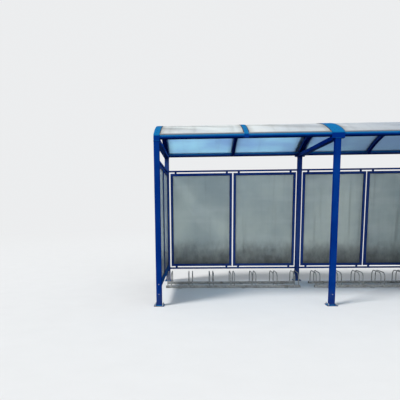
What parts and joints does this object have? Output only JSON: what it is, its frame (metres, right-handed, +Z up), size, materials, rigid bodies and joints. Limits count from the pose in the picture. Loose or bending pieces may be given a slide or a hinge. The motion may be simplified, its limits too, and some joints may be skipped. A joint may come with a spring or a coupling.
{
  "type": "bike shelter",
  "caption": "Open-front bike shelter of square steel posts and round beams, with a curved translucent roof on arches, framed translucent walls and a low wheel rack.",
  "frame": {"origin": "on the ground, at the middle of the post grid", "axes": "+X along the shelter, +Y from the open front to the rear wall, +Z up"},
  "size_m": [5.15, 2.3, 2.7099],
  "materials": {
    "blue_steel": "gloss blue coating",
    "roof_sheet": "weathered translucent sheet",
    "wall_sheet": "translucent fluted sheet",
    "galvanized_steel": "galvanized"
  },
  "bodies": {
    "root": {"front_post_left": "blue_steel", "rear_post_left": "blue_steel", "tie_beam_left": "blue_steel", "roof_arch_left": "blue_steel", "roof_cover_left": "blue_steel", "front_post_middle": "blue_steel", "rear_post_middle": "blue_steel", "tie_beam_middle": "blue_steel", "roof_arch_middle": "blue_steel", "roof_cover_middle": "blue_steel", "front_post_right": "blue_steel", "rear_post_right": "blue_steel", "tie_beam_right": "blue_steel", "roof_arch_right": "blue_steel", "roof_cover_right": "blue_steel", "front_beam": "blue_steel", "rear_beam": "blue_steel", "bay_arch_left": "blue_steel", "bay_cover_left": "blue_steel", "bay_arch_right": "blue_steel", "bay_cover_right": "blue_steel", "wall_rails": "blue_steel", "roof_sheet_1": "roof_sheet", "rear_frame_1": "blue_steel", "rear_sheet_1": "wall_sheet", "roof_sheet_2": "roof_sheet", "rear_frame_2": "blue_steel", "rear_sheet_2": "wall_sheet", "roof_sheet_3": "roof_sheet", "rear_frame_3": "blue_steel", "rear_sheet_3": "wall_sheet", "roof_sheet_4": "roof_sheet", "rear_frame_4": "blue_steel", "rear_sheet_4": "wall_sheet", "left_frame_front": "blue_steel", "left_sheet_front": "wall_sheet", "left_frame_rear": "blue_steel", "left_sheet_rear": "wall_sheet", "right_frame_front": "blue_steel", "right_sheet_front": "wall_sheet", "right_frame_rear": "blue_steel", "right_sheet_rear": "wall_sheet", "rack_rails_left": "galvanized_steel", "rack_hoops_left": "galvanized_steel", "rack_rails_right": "galvanized_steel", "rack_hoops_right": "galvanized_steel"}
  },
  "joints": []
}
